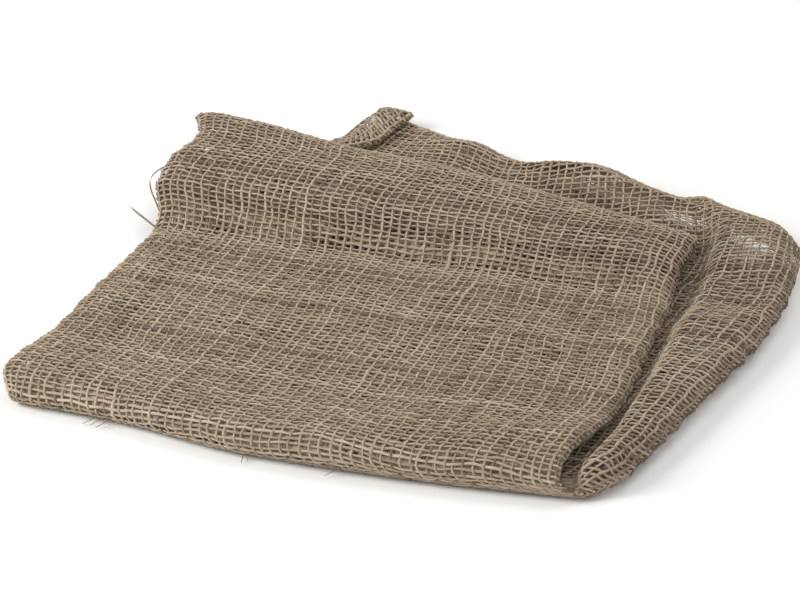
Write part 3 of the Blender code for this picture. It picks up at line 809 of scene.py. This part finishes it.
def jute_material(name, share):
    """Dry spun jute: matt, streaked round the twist, tinted yarn by yarn, its colours cut to a share."""
    material = bpy.data.materials.new(name)
    material.use_nodes = True
    tree = material.node_tree
    shader = tree.nodes["Principled BSDF"]
    add = partial(add_node, tree)
    tint, length, around = (add("ShaderNodeAttribute", attribute_name=name).outputs["Fac"]
                            for name in ("tint", "length", "around"))
    turns, slow = (add("ShaderNodeMath", {0: length, 1: 1 / size}, operation="MULTIPLY")
                   for size in (TWIST_TURN, FIBRE_LENGTH))
    twist = add("ShaderNodeMath", {0: around, 1: turns}, operation="ADD")
    angle = add("ShaderNodeMath", {0: twist, 1: 2 * math.pi}, operation="MULTIPLY")
    east, north = (add("ShaderNodeMath", {0: angle}, operation=name) for name in ("COSINE", "SINE"))
    place = add("ShaderNodeCombineXYZ", {0: east, 1: north, 2: slow})
    streaks = add("ShaderNodeTexNoise", {"Vector": place, "Scale": 1.6, "Detail": 3.0, "Roughness": 0.65})
    blotch = add("ShaderNodeMath", {0: streaks, 1: STREAKS, 2: -STREAKS / 2}, operation="MULTIPLY_ADD")
    shade = add("ShaderNodeMath", {0: tint, 1: blotch}, operation="ADD", use_clamp=True)
    ramp = add("ShaderNodeValToRGB", {"Fac": shade})
    ramp.color_ramp.elements.new(0.5)
    for element, colour in zip(ramp.color_ramp.elements, (JUTE_DARK, JUTE_MIDDLE, JUTE_LIGHT)):
        element.color = [share * value for value in colour[:3]] + [1.0]
    where = add("ShaderNodeCombineXYZ", {2: length})
    fleck = add("ShaderNodeTexNoise", {"Vector": where, "Scale": 1 / FLECK_SPACING, "Detail": 1.0})
    fleck = add("ShaderNodeMapRange", {0: fleck, 1: FLECK_FROM, 2: FLECK_FULL, 3: 0.0, 4: FLECK_SHARE})
    colour = add("ShaderNodeMix", {0: fleck, 6: ramp, 7: JUTE_RED}, data_type="RGBA")
    bump = add("ShaderNodeBump", {"Height": streaks, "Strength": 0.6, "Distance": FIBRE_BUMP})
    tree.links.new(colour.outputs[2], shader.inputs["Base Color"])
    tree.links.new(bump.outputs[0], shader.inputs["Normal"])
    for socket, value in (("Roughness", 0.92), ("IOR", 1.5), ("Specular IOR Level", 0.25),
                          ("Sheen Weight", 0.15), ("Sheen Roughness", 0.6)):
        shader.inputs[socket].default_value = value
    return material


jute = jute_material("undyed spun jute", share=0.94)
deep_jute = jute_material("undyed jute in deep shade", share=0.58)
print("made materials:", jute.name, "and", deep_jute.name)

# %% [markdown]
# ## Zone by zone
#
# Yarns are expensive in triangles, so each zone of the cover is a piece of its own. Where the cloth shows,
# a yarn has two steps between crossings and six sides. Where another ply or the fold hides it, one step and
# four sides are enough, since it is only seen through the holes.
#
# Real yarns are fuzzy, and through two plies of them hardly any white floor shows. Hidden yarns are
# therefore drawn as wide flat bands, about twice as wide as the shown ones, which stand for yarn and fuzz
# together. The deepest ones are darker too, because little light gets in between the plies.

# %% Spin a zone
YARN_RISE = 0.38 * MM       # how far a yarn is pushed out or in where it crosses another
SHOWN = {"Sides": 6, "Width": 1.22 * MM, "Flatness": 0.78, "Material": jute}
ON_GROUND = {"Sides": 4, "Width": 2.1 * MM, "Flatness": 0.45, "Material": jute}     # wide, to stop light
UNDER_TOP = {"Sides": 4, "Width": 2.8 * MM, "Flatness": 0.40, "Material": jute}
IN_HUMP = {**UNDER_TOP, "Material": deep_jute}


def spin(thing, yarn, hairs):
    """Runs the yarn tree on an object of bare edges and keeps the result as its plain mesh."""
    modifier = thing.modifiers.new("spin", "NODES")
    modifier.node_group = spin_yarns
    identifier = {item.name: item.identifier for item in spin_yarns.interface.items_tree
                  if item.in_out == "INPUT"}
    for name, value in {**yarn, "Rise": YARN_RISE, "Fibres per square metre": hairs}.items():
        modifier[identifier[name]] = value
    evaluated = thing.evaluated_get(bpy.context.evaluated_depsgraph_get())
    plain = bpy.data.meshes.new_from_object(evaluated)
    thing.modifiers.clear()
    thing.data = plain
    plain.name = thing.name
    print(f"{thing.name}: {sum(len(p.vertices) - 2 for p in plain.polygons)} triangles")
    return thing


def rows_between(start, end):
    """The first and last place, in the list of rows, of those between two lengths along the cloth."""
    inside = np.nonzero((row_lengths >= start) & (row_lengths < end))[0]
    return inside[0], inside[-1]


def outer_rows(start, end):
    first, last = rows_between(start, end)
    return PLY_ROWS - 1 - last, PLY_ROWS - 1 - first


def inner_rows(start, end):
    return tuple(END_ROWS.stop + place for place in rows_between(start, end))


def zone_paths(first, last, fine_from):
    """Every yarn of a zone; its columns are carried on to the next zone's first row."""
    paths = []
    for row in range(first, last + 1):
        paths += row_paths(row, fine_from)
    for column in range(COLUMNS):
        end = last
        while end < ROWS - 1 and (end == last or not crossed[end, column]):
            end += 1
        paths += column_path(column, first, end, fine_from)
    return paths


middle_measured = {name: float(np.interp(place, places, measured[:, MIDDLE_SAMPLE]))
                   for name, place in place_of.items()}
NOSE, CREASE, HEEL = (middle_measured[name] for name in ("underside", "crease", "hump heel"))
# Lengths along the cloth, in millimetres, where one zone of yarns ends and the next begins.
BACK_TO = NOSE - 185.0
NOSE_FROM = NOSE - 12
ROLL_TO = NOSE + 20         # the roll's front tip shows as far as this
TOP_FROM = NOSE + 75
INSIDE_FROM = CREASE + 14
FAR = 2000.0
print({name: round(length) for name, length in middle_measured.items()})

# %% [markdown]
# ## Loose yarns
#
# The cloth's cut yarns come loose here and there. At the left end of the hump one yarn has been pulled out
# into a small loop and another ends in a frayed tip, and a few strands stick out under the front fold. Each
# is a smooth line through a few points, spun by the same tree in the same piece as the cloth that it comes
# from.

# %% Loose yarns and strands
LOOSE_STEP = 1.2            # millimetres between a loose yarn's points
LOOSE_LOOP = (              # x, y, z and thickness at points of a loose yarn
    (-10, 241, 28.5, 0.70), (-20, 239, 28.5, 0.70), (-23.5, 233, 27.5, 0.70), (-25.8, 229, 25, 0.70),
    (-26.8, 228, 20.5, 0.75), (-25, 225.5, 17.5, 0.75), (-22, 222, 15.5, 0.75), (-17, 216, 13, 0.75),
    (-12.8, 211, 11, 0.75), (-5, 208, 9.5, 0.75),
)
LOOSE_END = (
    (0, 189, 10.5, 0.80), (-8.7, 193, 11.5, 1.00), (-15.4, 196.4, 13.2, 1.05), (-21, 199, 14.8, 1.00),
    (-25.5, 201.3, 16.2, 0.70),
)
END_STRANDS = (             # x, y and z of a strand's root, those of its tip, and its thickness
    (-24.5, 200.8, 15.9, -28.4, 201.5, 18.0, 0.34),
    (-24.5, 200.8, 15.9, -28.8, 203.0, 17.2, 0.38),
    (-24.5, 200.8, 15.9, -27.6, 204.0, 16.0, 0.30),
)
FRONT_STRANDS = (
    (50.0, -8.0, 2.5, 44.5, -14.5, 0.6, 0.50),
    (53.0, -8.0, 2.5, 48.5, -14.8, 0.6, 0.42),
    (57.0, -8.5, 2.5, 52.3, -15.6, 0.6, 0.50),
    (61.0, -8.5, 2.5, 56.0, -14.6, 0.6, 0.36),
    (130.9, -16.0, 2.0, 133.0, -25.0, 0.6, 0.50),
    (131.5, -16.0, 2.0, 135.5, -22.8, 0.6, 0.42),
    (180.1, -18.7, 2.5, 175.0, -24.0, 0.6, 0.42),
)


def loose_yarn(points, paleness):
    """A smooth line through a few points, with the same facts that a woven yarn has."""
    known = np.array(points, dtype=float).T
    reach = run_so_far(step_lengths(known[:3].T))
    fine = np.linspace(0.0, reach[-1], int(reach[-1] / LOOSE_STEP) + 2)
    *spots, girth = (curve_through(reach, values, fine) for values in known)
    line = np.stack(spots, axis=1) - SHIFT
    still = np.zeros(len(line))
    return (line, np.tile((0.0, 0.0, 1.0), (len(line), 1)), still, girth, still + paleness,
            np.linalg.norm(line - line[0], axis=-1))


def strands(rows, paleness):
    """Single strands, each straight and half as thick at its tip."""
    return [loose_yarn(((*row[:3], row[6]), (*row[3:6], row[6] / 2)), paleness) for row in rows]


LOOSE_YARN_PALENESS, END_STRAND_PALENESS, FRONT_STRAND_PALENESS = 0.12, 0.3, 0.1
loose_yarns = {
    "cloth_of_the_hump": [loose_yarn(rows, LOOSE_YARN_PALENESS) for rows in (LOOSE_LOOP, LOOSE_END)]
    + strands(END_STRANDS, END_STRAND_PALENESS),
    "cloth_of_the_front_fold": strands(FRONT_STRANDS, FRONT_STRAND_PALENESS),
}
print("loose yarns:", {name: len(lines) for name, lines in loose_yarns.items()})

# %% [markdown]
# ## The pieces
#
# Each row of this table is one piece. A zone's yarns run on to the next zone's first row, so no seam shows.

# %% Make the pieces
ALL_FINE, COARSE, ROLL_FINE = 0.0, 2.0, 0.78
ZONES = (
    # name, first row, last row, the share of the width from where it is fine, the yarn, and how many loose
    # fibres stand on each square metre of its skin
    ("cloth_on_the_ground", *outer_rows(-FAR, NOSE_FROM), COARSE, ON_GROUND, 0),
    ("cloth_at_the_back", PLY_ROWS, inner_rows(-FAR, BACK_TO)[1], ALL_FINE, SHOWN, 20e3),
    ("cloth_of_the_lower_run", *inner_rows(BACK_TO, ROLL_TO), ROLL_FINE, SHOWN, 60e3),
    ("cloth_of_the_front_fold", *outer_rows(NOSE_FROM, TOP_FROM), ALL_FINE, SHOWN, 120e3),
    ("cloth_on_top", *outer_rows(TOP_FROM, CREASE), ALL_FINE, SHOWN, 120e3),
    ("cloth_under_the_top", *inner_rows(ROLL_TO, INSIDE_FROM), COARSE, UNDER_TOP, 0),
    ("cloth_of_the_hump", *outer_rows(CREASE, HEEL), ALL_FINE, SHOWN, 120e3),
    ("cloth_inside_the_hump", *inner_rows(INSIDE_FROM, FAR), COARSE, IN_HUMP, 0),
    ("cloth_tucked_in", *outer_rows(HEEL, FAR), COARSE, IN_HUMP, 0),
)

# The ply on the ground gets little light, apart from its turned-over strip, which keeps its own tint.
GROUND_SHADE, STRIP_ENDS = 0.42, (0.10, 0.16)
on_ground = slice(ZONES[0][1], ZONES[0][2] + 1)
row_tint[on_ground] -= GROUND_SHADE * soft_step(*STRIP_ENDS, row_step_shares[on_ground])
column_tint[:, 2 * on_ground.start:2 * on_ground.stop] -= (
    GROUND_SHADE * soft_step(*STRIP_ENDS, column_shares)[:, None])

pieces, zone_area = {}, {}
for name, first, last, fine_from, yarn, hairs in ZONES:
    thing = yarn_object(name, zone_paths(first, last, fine_from), loose_yarns.get(name, ()))
    thing = spin(thing, yarn, hairs)
    pieces[name] = thing
    zone_area[name] = crossed[first:last + 1].sum() * ROW_PITCH * HALF_ROUND / COLUMNS * MM * MM
    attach(thing, "root")
    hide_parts("jute_cover")

# %% [markdown]
# ## Floor, light and camera
#
# The cover lies on a plain white floor. A broad soft light from the left shapes the hump and the front
# fold, a wider one from behind lights the top run, and a weak one from the front opens the shade in the
# crease.

# %% Camera
TARGET = np.array([143.73, 171.72, 0.0])
CAMERA_AWAY, CAMERA_UP, CAMERA_TURN = 1524.9, math.radians(25.5), math.radians(19.54)
aim = (TARGET - SHIFT) * MM
level = CAMERA_AWAY * math.cos(CAMERA_UP)
eye = aim + np.array([level * math.sin(CAMERA_TURN), -level * math.cos(CAMERA_TURN),
                      CAMERA_AWAY * math.sin(CAMERA_UP)]) * MM
camera_data = bpy.data.cameras.new("camera")
camera_data.lens, camera_data.sensor_width = 128.08, 36.0
camera_data.clip_start, camera_data.clip_end = 0.05, 20.0
camera = put("camera", camera_data)
camera.location = eye
camera.rotation_euler = (math.pi / 2 - CAMERA_UP, 0.0, CAMERA_TURN)
bpy.context.scene.camera = camera
print("camera at", np.round(eye, 3))

# %% Floor
FLOOR_REACH, FLOOR_HEIGHT = 4.0, -0.0006


def floor():
    data = bpy.data.meshes.new("floor")
    corners = [(x * FLOOR_REACH, y * FLOOR_REACH, 0) for x, y in ((-1, -1), (1, -1), (1, 1), (-1, 1))]
    data.from_pydata(corners, [], [(0, 1, 2, 3)])
    plain = bpy.data.materials.new("white paper")
    plain.use_nodes = True
    shader = plain.node_tree.nodes["Principled BSDF"]
    shader.inputs["Base Color"].default_value = paint("#F4F4F2")
    shader.inputs["Roughness"].default_value = 0.9
    data.materials.append(plain)
    thing = put("floor", data)
    thing.location.z = FLOOR_HEIGHT
    return thing


print("the floor's height:", floor().location.z)

# %% Lights
def soft_light(name, place, size, power):
    """A round area light that points at the middle of the floor."""
    data = bpy.data.lights.new(name, "AREA")
    data.shape, data.size, data.energy = "DISK", size, power
    thing = put(name, data)
    thing.location = place
    thing.rotation_euler = (-Vector(place)).to_track_quat("-Z", "Y").to_euler()


soft_light("key", (-1.0, -0.65, 0.72), size=0.7, power=15)
soft_light("front", (0.35, -1.3, 0.75), size=0.8, power=2.5)
soft_light("back", (0.5, 1.3, 1.5), size=1.4, power=14)
world = bpy.data.worlds.new("studio")
world.use_nodes = True
world.node_tree.nodes["Background"].inputs["Color"].default_value = (1, 1, 1, 1)
world.node_tree.nodes["Background"].inputs["Strength"].default_value = 0.56
bpy.context.scene.world = world
bpy.context.scene.view_settings.view_transform = "Standard"

# %% [markdown]
# ## The cloth's flat sizes
#
# Every piece is cloth that lies folded, so the size that each would have laid out flat is worked out
# and printed. Its area is the number of its crossings times the area that belongs to one of them.

# %% Print the flat sizes
SIDE_TO_SIDE = HALF_ROUND * MM
for name, thing in pieces.items():
    length = float(zone_area[name]) / SIDE_TO_SIDE
    print(f"{name}: {SIDE_TO_SIDE * 1000:.0f} x {length * 1000:.0f} mm laid out flat")
